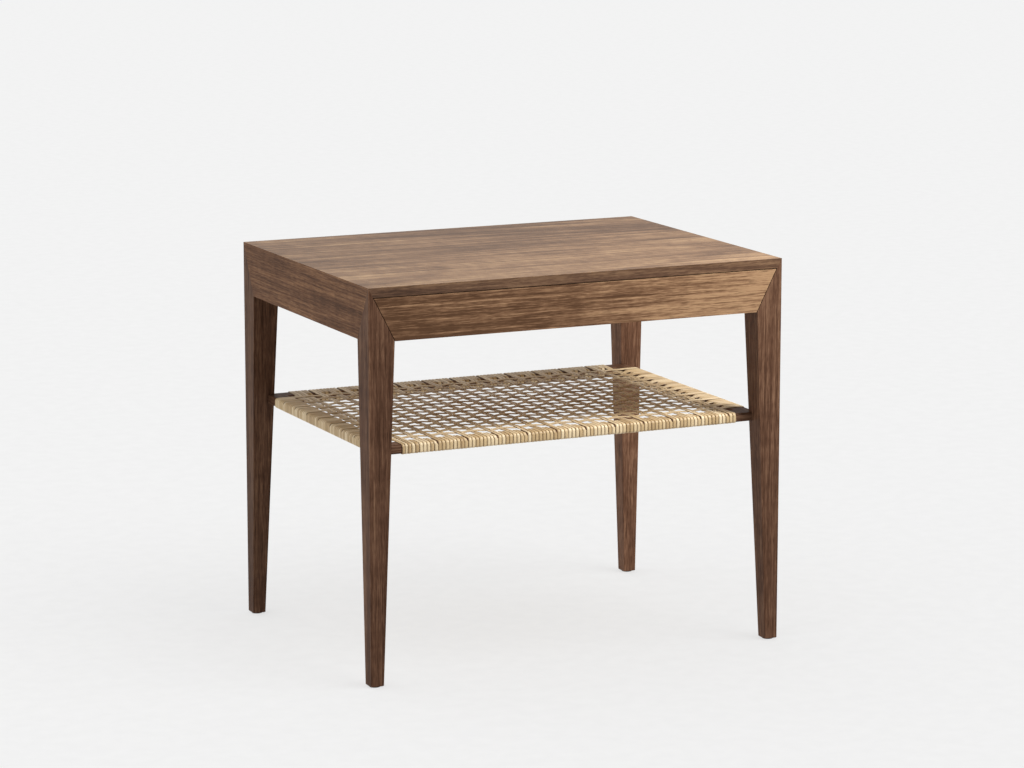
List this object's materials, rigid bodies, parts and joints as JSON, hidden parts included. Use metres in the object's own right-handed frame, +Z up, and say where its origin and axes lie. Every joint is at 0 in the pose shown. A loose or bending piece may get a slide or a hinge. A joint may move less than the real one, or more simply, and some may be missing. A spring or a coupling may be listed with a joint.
{
  "type": "bedside table",
  "caption": "Low bedside table with tapered legs, a flush handle-less drawer under a mitred top and an open woven cane shelf on a frame between the legs.",
  "frame": {"origin": "centre of the footprint, on the floor", "axes": "+X to the right seen from the front, +Y to the back, +Z up; the drawer opens along -Y"},
  "size_m": [0.56, 0.414, 0.49],
  "materials": {
    "walnut": "satin oiled",
    "drawer_wood": "satin",
    "beech": "raw",
    "plywood": "satin",
    "cane": "natural skin",
    "screw_steel": "zinc plated",
    "glide": "matte"
  },
  "bodies": {
    "case": {"back_apron": "walnut", "cane_panel": "cane", "cane_wrap_back": "cane", "cane_wrap_front": "cane", "cane_wrap_left": "cane", "cane_wrap_right": "cane", "cleat_screws": "screw_steel", "drawer_stop_left": "beech", "drawer_stop_right": "beech", "foot_glide_back_left": "glide", "foot_glide_back_right": "glide", "foot_glide_front_left": "glide", "foot_glide_front_right": "glide", "leg_back_left": "walnut", "leg_back_right": "walnut", "leg_dowels": "beech", "leg_front_left": "walnut", "leg_front_right": "walnut", "runner_block_left": "beech", "runner_block_right": "beech", "runner_left": "beech", "runner_right": "beech", "runner_screws": "screw_steel", "shelf_dowels": "beech", "shelf_rail_back": "walnut", "shelf_rail_front": "walnut", "shelf_rail_left": "walnut", "shelf_rail_right": "walnut", "side_apron_left": "walnut", "side_apron_right": "walnut", "stop_strip": "beech", "top_board": "walnut", "top_cleat_back": "beech", "top_cleat_left": "beech", "top_cleat_right": "beech"},
    "drawer": {"drawer_front": "walnut", "drawer_side_left": "drawer_wood", "drawer_side_right": "drawer_wood", "drawer_back": "drawer_wood", "drawer_bottom": "plywood", "drawer_dowels": "beech", "drawer_bottom_screws": "screw_steel", "stop_pegs": "beech"}
  },
  "joints": [
    {"name": "drawer_slide", "type": "slide", "parent": "case", "child": "drawer", "axis": [0, -1, 0], "range_m": [0, 0.25]}
  ]
}
